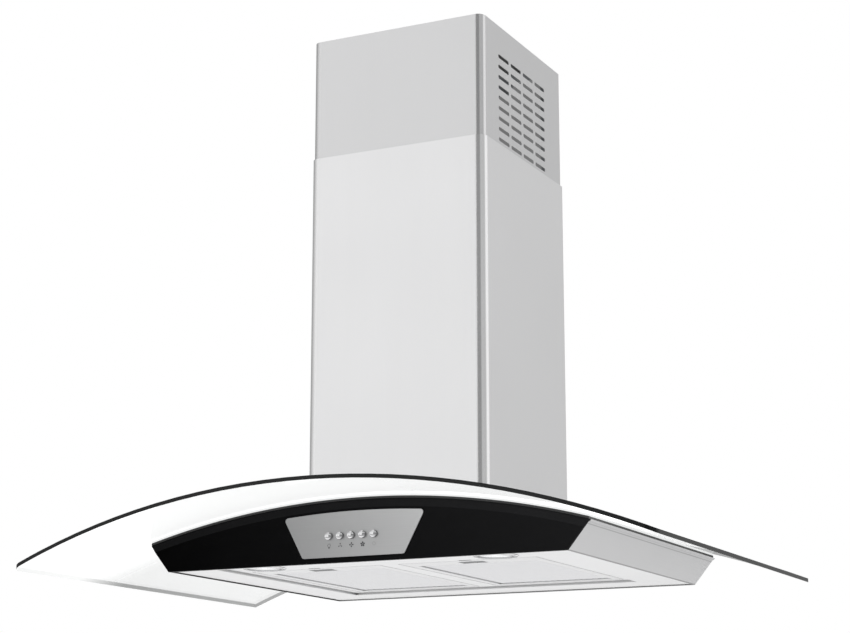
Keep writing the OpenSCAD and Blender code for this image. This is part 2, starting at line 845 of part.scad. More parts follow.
module scroll_plan(inset, top) {
    front = throat_front + inset;
    scroll_quarter(scroll_c1, scroll_r - inset, 1, 1);
    scroll_quarter(scroll_c2, scroll_r + scroll_growth - inset, 1, -1);
    scroll_quarter(scroll_c3, scroll_r + 2 * scroll_growth - inset, -1, -1);
    translate([front, scroll_c3[1]]) square([throat_back - inset - front, top - scroll_c3[1]]);
    translate([throat_back - 2, scroll_c2[1] - 1])
        square([scroll_c1[0] - throat_back + 3, scroll_c1[1] + scroll_r - inset - scroll_c2[1] + 1]);
}

module scroll_casing() {
    flange = 12;
    top = deck_top + 1;
    color(dark_steel) difference() {
        union() {
            along_x(-scroll_w / 2, scroll_w / 2) scroll_plan(0, top);
            box([-scroll_w / 2 - flange, throat_front - flange, neck_top - 1.5],
                [scroll_w / 2 + flange, throat_back + flange, neck_top]);
        }
        along_x(-scroll_w / 2 + duct_sheet_t, scroll_w / 2 - duct_sheet_t)
            scroll_plan(duct_sheet_t, top + 1);
        rod_x(-scroll_w, scroll_w, fan_y, fan_z, inlet_r);
        at_deck_screws() translate([0, 0, -8]) cylinder(r = 1.6, h = 10);
    }
}

module flat_ring(outer_r, inner_r) {
    difference() {
        circle(outer_r);
        circle(inner_r);
    }
}

module inlet_guard() {
    x0 = -scroll_w / 2 - touch_gap - 2;
    color(dark_steel) along_x(x0, x0 + 2) translate([fan_y, fan_z]) {
        flat_ring(inlet_r + 12, inlet_r - 1);
        flat_ring(inlet_r * 0.7, inlet_r * 0.7 - 3);
        flat_ring(inlet_r * 0.36, inlet_r * 0.36 - 3);
        for (a = [0 : 60 : 120]) rotate(a) square([2 * inlet_r + 4, 3], center = true);
    }
}

module motor_bracket() {
    x0 = scroll_w / 2 + touch_gap;
    color(zinc) difference() {
        union() {
            translate([x0, fan_y, fan_z]) rotate([0, 90, 0]) difference() {
                cylinder(r = inlet_r + 12, h = 2);
                translate([0, 0, -1]) cylinder(r = inlet_r, h = 4);
            }
            for (a = [90, 210, 330])
                translate([x0, fan_y, fan_z]) rotate([a, 0, 0])
                    translate([0, 0, -8]) cube([2, inlet_r + 6, 16]);
            rod_x(x0, x0 + 2, fan_y, fan_z, 30);
        }
        rod_x(0, scroll_w, fan_y, fan_z, 14);
    }
}

module motor_case() {
    color(dark_steel) difference() {
        translate([motor_x, fan_y, fan_z]) rotate([0, 90, 0]) rotate_extrude() polygon([
            [0, 0], [motor_d / 2 - 6, 0], [motor_d / 2, 6], [motor_d / 2, motor_len - 6],
            [motor_d / 2 - 6, motor_len], [0, motor_len]
        ]);
        rod_x(motor_x - 1, motor_x + motor_len - 4, fan_y, fan_z, shaft_d / 2 + 1);
        rod_x(motor_x - 1, motor_x + 8, fan_y, fan_z, 11);
        rod_x(motor_x + motor_len - 13, motor_x + motor_len - 4, fan_y, fan_z, 11);
    }
}

module motor_bearings() {
    color(bright_steel) for (x = [motor_x + 0.5, motor_x + motor_len - 12.5])
        difference() {
            rod_x(x, x + 7, fan_y, fan_z, 10.95);
            rod_x(x - 1, x + 8, fan_y, fan_z, shaft_d / 2 + bore_gap);
        }
}

module impeller() {
    r = impeller_d / 2;
    color([0.25, 0.26, 0.28]) difference() {
        union() {
            rod_x(-0.75, 0.75, fan_y, fan_z, r - 2);
            rod_x(-14, 14, fan_y, fan_z, 13);
            for (s = [-1, 1]) translate([s * (impeller_w / 2 - 1) - 1, fan_y, fan_z]) rotate([0, 90, 0])
                difference() {
                    cylinder(r = r, h = 2);
                    translate([0, 0, -1]) cylinder(r = r - 14, h = 4);
                }
            for (i = [0 : blade_count - 1])
                translate([0, fan_y, fan_z]) rotate([i * 360 / blade_count, 0, 0])
                    translate([0, r - 7, 0]) rotate([30, 0, 0])
                        cube([impeller_w - 1, 12, 0.9], center = true);
        }
        rod_x(-20, 20, fan_y, fan_z, shaft_d / 2 + 0.02);
    }
}

module motor_shaft() {
    color(bright_steel) rod_x(-24, motor_x + motor_len - 5, fan_y, fan_z, shaft_d / 2);
}

module impeller_nut() {
    color(bright_steel) difference() {
        rod_x(-21.5, -14.1, fan_y, fan_z, shaft_d * 0.9, $fn = 6);
        rod_x(-30, 0, fan_y, fan_z, shaft_d / 2 + 0.02);
    }
}

module outlet_collar() {
    side = adapter_side;
    z0 = deck_top + touch_gap;
    color(white_plastic) difference() {
        union() {
            translate([0, 0, z0]) linear_extrude(adapter_h) round_rect(side, side, 8);
            translate([0, 0, collar_z - eps]) cylinder(r = collar_d / 2, h = collar_h + eps, $fn = 180);
        }
        translate([0, 0, z0 - 1]) linear_extrude(adapter_h - 1) round_rect(side - 4, side - 4, 6);
        translate([0, 0, z0]) cylinder(r = collar_d / 2 - collar_t - 4, h = 200);
        translate([0, 0, rod_z - 0.8]) cylinder(r = collar_d / 2 - collar_t, h = 200);
        translate([0, 0, collar_z - 1]) cylinder(r = collar_d / 2 - collar_t, h = rod_z - 2.3 - collar_z + 1);
        rod_x(-collar_d, collar_d, 0, rod_z, rod_d / 2 + 0.02);
    }
}

module damper_rod() {
    color(bright_steel) rod_x(-collar_d / 2 + 0.1, collar_d / 2 - 0.1, 0, rod_z, rod_d / 2);
}

// A half-round flap on the +Y side, with its knuckles at the given X starts
module damper_flap(starts) {
    knuckle_l = 22;
    difference() {
        union() {
            intersection() {
                translate([0, 0, rod_z - 0.5]) cylinder(r = flap_r, h = 1);
                box([-flap_r, knuckle_r + 0.4, rod_z - 1], [flap_r, flap_r + 1, rod_z + 1]);
            }
            for (x = starts) {
                rod_x(x, x + knuckle_l, 0, rod_z, knuckle_r);
                box([x, 0, rod_z - 0.5], [x + knuckle_l, knuckle_r + 1, rod_z + 0.5]);
            }
        }
        rod_x(-collar_d, collar_d, 0, rod_z, rod_d / 2 + bore_gap);
    }
}

module damper_flap_back() color(zinc) damper_flap([-58, 10]);
module damper_flap_front() color(zinc) mirror([0, 1, 0]) damper_flap([-34, 34]);

// ---------------------------------------------------------------- electrics

box_y0 = adapter_side / 2 + 4;
box_y1 = neck_y - 4;
box_x = 46;
box_h = 34;
box_wall = 2;
lid_t = 2.5;
lid_z = deck_top + box_h + 2 * touch_gap;
gland_x = -30;
gland_y = box_y0 + 10.5;
gland_r = 7;
gland_bore_r = 4;

module connection_box() {
    z0 = deck_top + touch_gap;
    color(white_plastic) difference() {
        box([-box_x, box_y0, z0], [box_x, box_y1, z0 + box_h]);
        box([-box_x + box_wall, box_y0 + box_wall, z0 + box_wall],
            [box_x - box_wall, box_y1 - box_wall, z0 + box_h + 1]);
    }
}

module connection_box_lid() {
    color(white_plastic) difference() {
        box([-box_x - 1, box_y0 - 1, lid_z], [box_x + 1, box_y1 + 1, lid_z + lid_t]);
        translate([gland_x, gland_y, lid_z - 1]) cylinder(r = gland_r + bore_gap, h = lid_t + 2);
    }
}

module cable_gland() {
    inside = 6;
    outside = 11.5;
    nut_h = 5;
    color(black) translate([gland_x, gland_y, lid_z]) difference() {
        union() {
            translate([0, 0, -inside]) cylinder(r = gland_r, h = inside + lid_t + outside);
            translate([0, 0, lid_t + touch_gap]) cylinder(r = 1.5 * gland_r, h = nut_h, $fn = 6);
        }
        translate([0, 0, -inside - 1]) cylinder(r = gland_bore_r, h = inside + lid_t + outside + 2);
    }
}

module run_capacitor() {
    color(steel) rod_x(-8, 40, (box_y0 + box_y1) / 2, deck_top + 18, 11);
}

// ---------------------------------------------------------------- grease filters

module filter_plan(s, inset) {
    x0 = s > 0 ? filter_x0 : -filter_x0 - filter_w;
    translate([x0 + inset, filter_y0 + inset]) square([filter_w - 2 * inset, filter_d - 2 * inset]);
}

module mesh_plan(s, grow) {
    x0 = (s > 0 ? filter_x0 : -filter_x0 - filter_w) + filter_rim;
    translate([x0 - grow, filter_y0 + filter_front_rim - grow])
        square([filter_w - 2 * filter_rim + 2 * grow, filter_d - filter_rim - filter_front_rim + 2 * grow]);
}

module filter_frame(s) {
    x_mid = s * (filter_x0 + filter_w / 2);
    color([0.86, 0.86, 0.87]) difference() {
        union() {
            translate([0, 0, recess_z]) linear_extrude(filter_h) filter_plan(s, 0);
            for (side = [-1, 1])
                rod_x(x_mid + side * (filter_w / 2 + 0.5) - 1.5, x_mid + side * (filter_w / 2 + 0.5) + 1.5,
                      hinge_y, hinge_z, hinge_pin_d / 2);
        }
        translate([0, 0, recess_z + 1.2]) linear_extrude(filter_h - 2.4) mesh_plan(s, 4);
        translate([0, 0, recess_z - 1]) linear_extrude(filter_h + 2) mesh_plan(s, 0);
        box([x_mid - latch_w / 2 - slide_gap, latch_y - slide_gap, recess_z - 1],
            [x_mid + latch_w / 2 + slide_gap, latch_y + latch_d + latch_travel + 1,
             recess_z + latch_h + slide_gap]);
        box([x_mid - tongue_w / 2 - slide_gap, filter_y0 - 1, recess_z + 2 - slide_gap],
            [x_mid + tongue_w / 2 + slide_gap, latch_y, recess_z + 2 + tongue_t + slide_gap]);
    }
}

// The lower and the upper sheet of expanded metal, held in the frame's groove
module filter_mesh(s) {
    color([0.8, 0.8, 0.81]) {
        for (z = [recess_z + 1.2 + touch_gap, filter_top - 1.2 - touch_gap - mesh_t])
            translate([0, 0, z]) linear_extrude(mesh_t) mesh_plan(s, 4 - touch_gap);
    }
}

module filter_latch(s) {
    x_mid = s * (filter_x0 + filter_w / 2);
    color([0.6, 0.61, 0.62]) difference() {
        union() {
            box([x_mid - latch_w / 2, latch_y, recess_z + 0.2],
                [x_mid + latch_w / 2, latch_y + latch_d, recess_z + latch_h]);
            box([x_mid - tongue_w / 2, filter_y0 - tongue_out, recess_z + 2],
                [x_mid + tongue_w / 2, latch_y + 1, recess_z + 2 + tongue_t]);
        }
        box([x_mid - latch_w / 2 + 2, latch_y + 3, recess_z - 1],
            [x_mid + latch_w / 2 - 2, latch_y + latch_d - 2, recess_z + latch_h - 1.5]);
    }
}

module filter_frame_left() filter_frame(-1);
module filter_frame_right() filter_frame(1);
module filter_mesh_left() filter_mesh(-1);
module filter_mesh_right() filter_mesh(1);
module filter_latch_left() filter_latch(-1);
module filter_latch_right() filter_latch(1);

ceiling_plate();
upper_rails();
upper_cover_front();
upper_cover_back();
upper_cover_screws();
canopy_glass();
glass_seal();
hood_shell();
underside_pan();
fascia();
control_plate();
switch_block();
lamp_ring_left();
lamp_ring_right();
lamp_lens_left();
lamp_lens_right();
lamp_housing_left();
lamp_housing_right();
lamp_bulb_left();
lamp_bulb_right();
plenum_neck();
deck_plate();
deck_screws();
lower_rails();
rail_bolts();
foot_bolts();
scroll_casing();
inlet_guard();
motor_bracket();
motor_case();
motor_bearings();
outlet_collar();
damper_rod();
connection_box();
connection_box_lid();
cable_gland();
run_capacitor();
lower_cover_front();
lower_cover_back();
lower_cover_screws();
button_light();
button_low();
button_medium();
button_high();
button_off();
filter_frame_left();
filter_frame_right();
filter_mesh_left();
filter_mesh_right();
filter_latch_left();
filter_latch_right();
impeller();
motor_shaft();
impeller_nut();
damper_flap_back();
damper_flap_front();
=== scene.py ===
"""Looks of the island range hood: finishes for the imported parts, and the finely modelled pieces around them."""

from __future__ import annotations

import logging
import math
from contextlib import contextmanager
from dataclasses import dataclass, field
from enum import Enum
from functools import cached_property
from typing import Callable, Iterator, Sequence

import bmesh
import bpy
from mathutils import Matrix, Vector

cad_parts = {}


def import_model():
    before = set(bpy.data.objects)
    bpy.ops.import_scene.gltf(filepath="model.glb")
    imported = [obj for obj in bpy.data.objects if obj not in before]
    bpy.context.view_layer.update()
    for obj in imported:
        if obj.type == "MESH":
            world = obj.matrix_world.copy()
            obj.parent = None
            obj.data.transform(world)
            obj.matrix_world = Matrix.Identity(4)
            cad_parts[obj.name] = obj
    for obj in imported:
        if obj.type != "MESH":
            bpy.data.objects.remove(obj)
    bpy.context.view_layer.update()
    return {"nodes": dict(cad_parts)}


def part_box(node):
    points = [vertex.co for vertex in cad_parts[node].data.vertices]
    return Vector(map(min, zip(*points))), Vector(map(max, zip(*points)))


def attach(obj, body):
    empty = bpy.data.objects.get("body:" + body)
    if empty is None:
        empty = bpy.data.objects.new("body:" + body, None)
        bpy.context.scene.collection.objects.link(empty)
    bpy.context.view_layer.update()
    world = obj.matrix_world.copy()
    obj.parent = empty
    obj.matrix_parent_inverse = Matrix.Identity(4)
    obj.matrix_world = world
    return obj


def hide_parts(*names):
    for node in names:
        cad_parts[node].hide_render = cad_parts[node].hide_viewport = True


LOG = logging.getLogger("range_hood")
MM = 0.001
ARCH_AXIS_Z = -1.872
BODY_TOP_R = 1.1893
BODY_LOW_Z = -0.763

Colour = tuple[float, float, float]
BLACK: Colour = (0.0, 0.0, 0.0)


# ------------------------------------------------------------------ shader tools


class Value:
    """A shader socket on which Python's arithmetic adds Math nodes."""

    def __init__(self, shader: "Shader", socket: bpy.types.NodeSocket) -> None:
        """Wraps a socket.

        Args:
            shader: the shader whose node tree holds the socket.
            socket: an output socket that carries a number.
        """
        self.shader = shader
        self.socket = socket

    def _math(self, operation: str, first: "Value | float", second: "Value | float") -> "Value":
        """Adds one Math node.

        Args:
            operation: the Math node's operation.
            first: its first number.
            second: its second number.

        Returns:
            The node's result.
        """
        made = self.shader.node("ShaderNodeMath", {"operation": operation}, {0: first, 1: second})
        return Value(self.shader, made.outputs[0])

    def __add__(self, other: "Value | float") -> "Value":
        """Returns self + other."""
        return self._math("ADD", self, other)

    __radd__ = __add__

    def __sub__(self, other: "Value | float") -> "Value":
        """Returns self - other."""
        return self._math("SUBTRACT", self, other)

    def __rsub__(self, other: "Value | float") -> "Value":
        """Returns other - self."""
        return self._math("SUBTRACT", other, self)

    def __mul__(self, other: "Value | float") -> "Value":
        """Returns self * other."""
        return self._math("MULTIPLY", self, other)

    __rmul__ = __mul__

    def __pow__(self, other: "Value | float") -> "Value":
        """Returns self to the power other."""
        return self._math("POWER", self, other)

    def __abs__(self) -> "Value":
        """Returns the number without its sign."""
        return self._math("ABSOLUTE", self, 0.0)

    def ramp(self, low: float, high: float) -> "Value":
        """Maps low..high to 0..1, clamped.

        Args:
            low: the number that becomes 0.
            high: the number that becomes 1.

        Returns:
            The mapped number.
        """
        made = self.shader.node(
            "ShaderNodeMapRange", {"clamp": True}, {"Value": self, "From Min": low, "From Max": high}
        )
        return Value(self.shader, made.outputs[0])


class Space(Enum):
    """Where a pattern takes its coordinates from."""

    OBJECT = "Object"
    UV = "UV"


class Shader:
    """One material's node tree, around a Principled BSDF."""

    def __init__(self, name: str) -> None:
        """Starts a material.

        Args:
            name: the material's name.
        """
        self.material = bpy.data.materials.new(name)
        self.material.use_nodes = True
        self.tree = self.material.node_tree
        self.tree.nodes.clear()
        self.surface = self.node("ShaderNodeBsdfPrincipled", {}, {})
        self.node("ShaderNodeOutputMaterial", {}, {"Surface": self.surface.outputs[0]})

    @classmethod
    def around(cls, tree: bpy.types.NodeTree) -> "Shader":
        """Wraps another node tree, emptied, such as the world's.

        Args:
            tree: the node tree.

        Returns:
            A shader with no surface of its own.
        """
        shader = cls.__new__(cls)
        shader.tree = tree
        tree.nodes.clear()
        return shader

    def node(self, kind: str, settings: dict, sockets: dict) -> bpy.types.Node:
        """Adds one node.

        Args:
            kind: the node's type.
            settings: attributes set first; "stops" gives a colour ramp's stops.
            sockets: a number, colour, Value or output socket for each input, by name or place.

        Returns:
            The new node.
        """
        made = self.tree.nodes.new(kind)
        for key, setting in settings.items():
            if key == "stops":
                self._set_stops(made, setting)
            else:
                setattr(made, key, setting)
        for key, given in sockets.items():
            self._plug(made.inputs[key], given)
        return made

    def _set_stops(self, ramp: bpy.types.Node, stops: Sequence[tuple[float, Colour]]) -> None:
        """Sets a colour ramp's stops, each a place and a colour."""
        elements = ramp.color_ramp.elements
        while len(elements) < len(stops):
            elements.new(0.5)
        for element, (place, colour) in zip(elements, stops):
            element.position = place
            element.color = (*colour, 1.0)

    def _plug(self, socket: bpy.types.NodeSocket, given: object) -> None:
        """Links or sets one input socket."""
        if isinstance(given, Value):
            given = given.socket
        if isinstance(given, bpy.types.NodeSocket):
            self.tree.links.new(given, socket)
        elif socket.type == "RGBA" and len(given) == 3:
            socket.default_value = (*given, 1.0)
        else:
            socket.default_value = given

    def set(self, **sockets: object) -> None:
        """Sets the surface's sockets, named with underscores for spaces."""
        for key, given in sockets.items():
            self._plug(self.surface.inputs[key.replace("_", " ")], given)

    def place(self, scale: Sequence[float] = (1, 1, 1), shift: Sequence[float] = (0, 0, 0),
              space: Space = Space.OBJECT) -> bpy.types.NodeSocket:
        """Gives scaled coordinates for a pattern.

        Args:
            scale: how many pattern units one metre holds, along each axis.
            shift: a move of the pattern after scaling.
            space: the coordinates to start from.

        Returns:
            The vector socket.
        """
        start = self.node("ShaderNodeTexCoord", {}, {})
        made = self.node(
            "ShaderNodeMapping", {}, {"Vector": start.outputs[space.value], "Scale": scale, "Location": shift}
        )
        return made.outputs[0]

    def noise(self, scale: Sequence[float], detail: float = 3.0, shift: Sequence[float] = (0, 0, 0)) -> Value:
        """Gives noise between about 0 and 1.

        Args:
            scale: waves a metre, along each axis.
            detail: how many finer layers it has.
            shift: a move of the pattern, so that two noises differ.

        Returns:
            The noise.
        """
        made = self.node(
            "ShaderNodeTexNoise", {}, {"Vector": self.place(scale, shift), "Scale": 1.0, "Detail": detail}
        )
        return Value(self, made.outputs[0])

    def coordinate(self, axis: int) -> Value:
        """Gives the place along one axis of the hood, in metres.

        Args:
            axis: 0 for X, 1 for Y and 2 for Z.

        Returns:
            The coordinate.
        """
        parts = self.node("ShaderNodeSeparateXYZ", {}, {0: self.place()})
        return Value(self, parts.outputs[axis])

    def arch_radius(self) -> Value:
        """Gives the distance from the axis of the canopy's arch, in metres."""
        across, up = self.coordinate(0), self.coordinate(2) - ARCH_AXIS_Z
        return (across * across + up * up) ** 0.5

    def seam(self, reach: float, dark: float) -> Value:
        """Gives painted shade for the base colour: 1 in the open, and dark deep in a seam.

        Args:
            reach: how far away a neighbouring surface still counts, in metres.
            dark: the share left deep in a seam or corner.

        Returns:
            The share.
        """
        made = self.node("ShaderNodeAmbientOcclusion", {"samples": 8}, {"Distance": reach})
        openness = Value(self, made.outputs["AO"]).ramp(0.35, 0.9)
        return openness * (1 - dark) + dark

    def facing(self, axis: int) -> Value:
        """Gives one part of the surface's true normal.

        Args:
            axis: 0 for X, 1 for Y and 2 for Z.

        Returns:
            The part, from -1 to 1.
        """
        turn = self.node("ShaderNodeNewGeometry", {}, {})
        parts = self.node("ShaderNodeSeparateXYZ", {}, {0: turn.outputs["True Normal"]})
        return Value(self, parts.outputs[axis])

    def blend(self, share: Value, low: Colour, high: Colour) -> bpy.types.NodeSocket:
        """Mixes two colours.

        Args:
            share: 0 gives low and 1 gives high.
            low: the first colour.
            high: the second colour.

        Returns:
            The mixed colour.
        """
        made = self.node("ShaderNodeMix", {"data_type": "RGBA"}, {0: share, 6: low, 7: high})
        return made.outputs[2]

    def bump(self, height: Value, strength: float, depth: float) -> None:
        """Roughens the surface.

        Args:
            height: the relief, 0 to 1.
            strength: how strongly it is felt, 0 to 1.
            depth: the relief's depth in metres.
        """
        made = self.node("ShaderNodeBump", {}, {"Height": height, "Strength": strength, "Distance": depth})
        self.set(Normal=made.outputs[0])


# ------------------------------------------------------------------ finishes


def tinted(colour: Colour, factor: float) -> Colour:
    """Returns the colour made lighter or darker by a factor."""
    return tuple(min(1.0, part * factor) for part in colour)


@dataclass(frozen=True)
class BrushedSteel:
    """Stainless sheet with fine straight brushing along one axis."""

    name: str
    colour: Colour
    grain: tuple[float, float, float] = (900.0, 900.0, 6.0)
    roughness: float = 0.34
    metal: float = 0.85
    contrast: float = 0.035
    relief: float = 0.00003
    bend_polish: float = 0.0
    shade_sweep: tuple[float, float, float] = (0.0, 1.0, 1.0)
    inside_shade: float = 1.0
    inside_painted_glow: float = 0.13
    seam_reach: float = 0.0
    seam_shade: float = 0.35
    fold_shade_lines: bool = False
    hem_h: float = 6.0 * MM
    hem_shade: float = 0.35
    crease_shade: float = 0.5

    def make(self) -> bpy.types.Material:
        """Returns the material: brushed streaks, faint smudges and a fine relief.

        A bend is shinier than the flat, a painted shade sweep darkens one end, an inner face may get painted shade
        and a painted glow, seams may get painted shade, and the body's sheet gets painted shade lines along its hem
        and its lower crease.
        """
        shader = Shader(self.name)
        streak = shader.noise(self.grain, 4.0)
        smudge = shader.noise((5.0, 5.0, 5.0), 2.0, (3.0, 1.0, 7.0))
        shade = streak.ramp(0.25, 0.75) * 0.7 + smudge * 0.3
        across, along = shader.facing(0), shader.facing(1)
        bend = abs(across * along).ramp(0.02, 0.12)
        # Painted shade: the base colour is darkened towards the low-X end of the sweep.
        start, end, dark = self.shade_sweep
        lit = shader.coordinate(0).ramp(start, end) * (1 - dark) + dark
        # Painted shade and painted glow: inner faces get a darker base colour and a small emission that lights the
        # vents' insides.
        if self.inside_shade < 1:
            outward = across * shader.coordinate(0) + along * shader.coordinate(1)
            inside = 1 - outward.ramp(-0.02, 0.02)
            lit = lit * (1 - inside * (1 - self.inside_shade))
            painted_glow = (self.inside_painted_glow,) * 3
            shader.set(Emission_Color=shader.blend(inside, BLACK, painted_glow), Emission_Strength=1.0)
        # Painted shade: ambient occlusion darkens the base colour in seams and corners.
        if self.seam_reach:
            lit = lit * shader.seam(self.seam_reach, self.seam_shade)
        # Painted shade: thin dark lines along the hem below the seal and along the lower crease, drawn in the base
        # colour, not modelled.
        if self.fold_shade_lines:
            depth = BODY_TOP_R - shader.arch_radius()
            hem_shade_line = 1 - abs(depth - self.hem_h).ramp(0.3 * MM, 0.9 * MM)
            crease_shade_line = 1 - shader.coordinate(2).ramp(BODY_LOW_Z + 0.6 * MM, BODY_LOW_Z + 1.6 * MM)
            lit = lit * (1 - hem_shade_line * self.hem_shade) * (1 - crease_shade_line * self.crease_shade)
        shader.set(
            Base_Color=shader.blend(
                (shade * (2 * self.contrast) + (1 - self.contrast)) * lit, BLACK, self.colour
            ),
            Metallic=self.metal,
            Roughness=streak * 0.12 + smudge * 0.06 + (self.roughness - 0.09) - bend * self.bend_polish,
        )
        shader.bump(streak, 0.25, self.relief)
        return shader.material


@dataclass(frozen=True)
class ZincSheet:
    """Galvanised sheet with its crystal spangle."""

    name: str
    colour: Colour

    def make(self) -> bpy.types.Material:
        """Returns the material: flat crystals of slightly different greys."""
        shader = Shader(self.name)
        crystal = shader.node(
            "ShaderNodeTexVoronoi", {"feature": "F1"}, {"Vector": shader.place((95, 95, 95)), "Scale": 1.0}
        )
        grey = shader.node("ShaderNodeRGBToBW", {}, {0: crystal.outputs["Color"]})
        spangle = Value(shader, grey.outputs[0])
        dust = shader.noise((14, 14, 14), 4.0)
        shader.set(
            Base_Color=shader.blend(
                spangle * 0.6 + dust * 0.4, tinted(self.colour, 0.82), tinted(self.colour, 1.15)
            ),
            Metallic=0.75,
            Roughness=spangle * 0.14 + dust * 0.16 + 0.28,
        )
        shader.bump(spangle, 0.12, 0.0001)
        return shader.material


@dataclass(frozen=True)
class GlossPanel:
    """Deep black polished panel, with a painted reflection that makes it a little paler to the right and where it
    leans back.
    """

    name: str
    colour: Colour

    def make(self) -> bpy.types.Material:
        """Returns the material: near-black, with a faint wipe haze in its gloss and a painted reflection in its
        colour.
        """
        shader = Shader(self.name)
        haze = shader.noise((18, 30, 60), 4.0)
        # Painted reflection: the base colour is paler to the right and where the panel leans back.
        right_reflection = shader.coordinate(0).ramp(-0.3, 0.3)
        tilt_reflection = shader.facing(2).ramp(0.05, 0.2)
        shader.set(
            Base_Color=shader.blend(right_reflection * 0.6 + haze * 0.1 + tilt_reflection * 0.4, tinted(self.colour, 0.05), self.colour),
            Roughness=haze * 0.06 + 0.09,
            Specular_IOR_Level=0.006,
        )
        shader.bump(haze, 0.03, 0.0004)
        return shader.material


@dataclass(frozen=True)
class CanopyGlass:
    """Clear toughened glass: hazy in its front band at a glancing look, with a painted white glow there for the
    room's reflection, dark at its cut edge.
    """

    name: str
    tint: Colour
    edge: Colour
    painted_glow: Colour = (0.76, 0.76, 0.76)
    clear_alpha: float = 0.16
    glancing_alpha: float = 0.45
    haze_alpha: float = 0.48
    haze_back: float = -0.22
    haze_fade: float = 0.1

    def make(self) -> bpy.types.Material:
        """Returns the material, whose faces are told from its edges by how far they lean."""
        shader = Shader(self.name)
        on_edge = 1 - abs(shader.facing(2)).ramp(0.55, 0.75)
        glance = shader.node("ShaderNodeLayerWeight", {}, {"Blend": 0.5})
        facing = Value(shader, glance.outputs["Facing"])
        front = 1 - shader.coordinate(1).ramp(self.haze_back, self.haze_back + self.haze_fade)
        added = front * self.haze_alpha + (self.glancing_alpha - self.clear_alpha)
        film_and_painted_glow = facing.ramp(0.3, 0.74) * added + self.clear_alpha
        dust = shader.noise((60, 60, 60), 5.0)
        alpha = film_and_painted_glow * (1 - on_edge) + on_edge
        shader.set(
            Base_Color=shader.blend(on_edge, self.tint, self.edge),
            Roughness=dust * 0.03 + 0.02,
            IOR=1.5,
            Specular_IOR_Level=0.25,
            Alpha=alpha,
            # Painted reflection: the film glows white (emission), standing in for the pale room reflected in the
            # glass.
            Emission_Color=shader.blend(film_and_painted_glow * (1 - on_edge), BLACK, self.painted_glow),
            Emission_Strength=1.0,
        )
        return shader.material


@dataclass(frozen=True)
class Moulded:
    """Moulded plastic or rubber with a fine eroded grain."""

    name: str
    colour: Colour
    roughness: float = 0.45
    grain: float = 1500.0
    relief: float = 0.00004

    def make(self) -> bpy.types.Material:
        """Returns the material: fine grain, and slow changes of shade."""
        shader = Shader(self.name)
        grain = shader.noise((self.grain,) * 3, 2.0)
        cloud = shader.noise((20, 20, 20), 3.0, (5, 2, 1))
        shader.set(
            Base_Color=shader.blend(cloud, tinted(self.colour, 0.93), tinted(self.colour, 1.06)),
            Roughness=grain * 0.12 + cloud * 0.08 + (self.roughness - 0.1),
        )
        shader.bump(grain, 0.3, self.relief)
        return shader.material


@dataclass(frozen=True)
class GlassSeal:
    """A black gasket on the body's top edge, under a clear silicone joint that holds the glass and is given a
    painted glow.
    """

    name: str
    gasket: Colour
    silicone: Colour
    gasket_h: float = 3.0 * MM

    def make(self) -> bpy.types.Material:
        """Returns the material, which turns from gasket to silicone at a height above the arched body; the silicone
        glows as painted light.
        """
        shader = Shader(self.name)
        rise = shader.arch_radius() - BODY_TOP_R
        joint = rise.ramp(self.gasket_h - 0.1 * MM, self.gasket_h)
        grain = shader.noise((900, 900, 900), 2.0)
        shader.set(
            Base_Color=shader.blend(joint, self.gasket, self.silicone),
            Roughness=grain * 0.15 + 0.3,
            # Painted light: the silicone glows pale (emission), standing in for the light seen in the gap under the
            # glass.
            Emission_Color=shader.blend(joint, BLACK, tinted(self.silicone, 1.1)),
            Emission_Strength=1.0,
        )
        shader.bump(grain, 0.2, 0.00004)
        return shader.material


@dataclass(frozen=True)
class Enamel:
    """Powder-coated or enamelled metal with a slight orange peel."""

    name: str
    colour: Colour
    roughness: float = 0.38

    def make(self) -> bpy.types.Material:
        """Returns the material: an uneven coat that is duller where dust settles."""
        shader = Shader(self.name)
        peel = shader.noise((420, 420, 420), 1.0)
        dust = shader.noise((16, 16, 16), 5.0)
        shader.set(
            Base_Color=shader.blend(dust, tinted(self.colour, 0.85), tinted(self.colour, 1.2)),
            Roughness=dust * 0.2 + (self.roughness - 0.08),
            Coat_Weight=0.25,
            Coat_Roughness=0.2,
        )
        shader.bump(peel, 0.25, 0.00008)
        return shader.material


@dataclass(frozen=True)
class Polished:
    """Plated metal: chrome, zinc plate or bright aluminium."""

    name: str
    colour: Colour
    roughness: float = 0.12
    seam_reach: float = 0.003
    seam_shade: float = 0.4

    def make(self) -> bpy.types.Material:
        """Returns the material: bright, with faint wear in its gloss and painted shade in its seams."""
        shader = Shader(self.name)
        wear = shader.noise((130, 130, 130), 5.0)
        # Painted shade: ambient occlusion darkens the colour in seams; the wear is the metal's own.
        shade = (wear * 0.1 + 0.9) * shader.seam(self.seam_reach, self.seam_shade)
        shader.set(
            Base_Color=shader.blend(shade, BLACK, self.colour),
            Metallic=1.0,
            Roughness=wear * 0.14 + (self.roughness - 0.05),
        )
        shader.bump(wear, 0.08, 0.00005)
        return shader.material


@dataclass(frozen=True)
class Frosted:
    """Pressed lamp glass, etched on its inner face."""

    name: str
    colour: Colour

    def make(self) -> bpy.types.Material:
        """Returns the material: a milky white that lets a little light through."""
        shader = Shader(self.name)
        etch = shader.noise((700, 700, 700), 3.0)
        shader.set(
            Base_Color=shader.blend(etch, tinted(self.colour, 0.92), self.colour),
            Roughness=etch * 0.15 + 0.12,
            Subsurface_Weight=0.3,
            Subsurface_Radius=(0.004, 0.004, 0.004),
            Coat_Weight=0.5,
            Coat_Roughness=0.05,
        )
        shader.bump(etch, 0.2, 0.00005)
        return shader.material


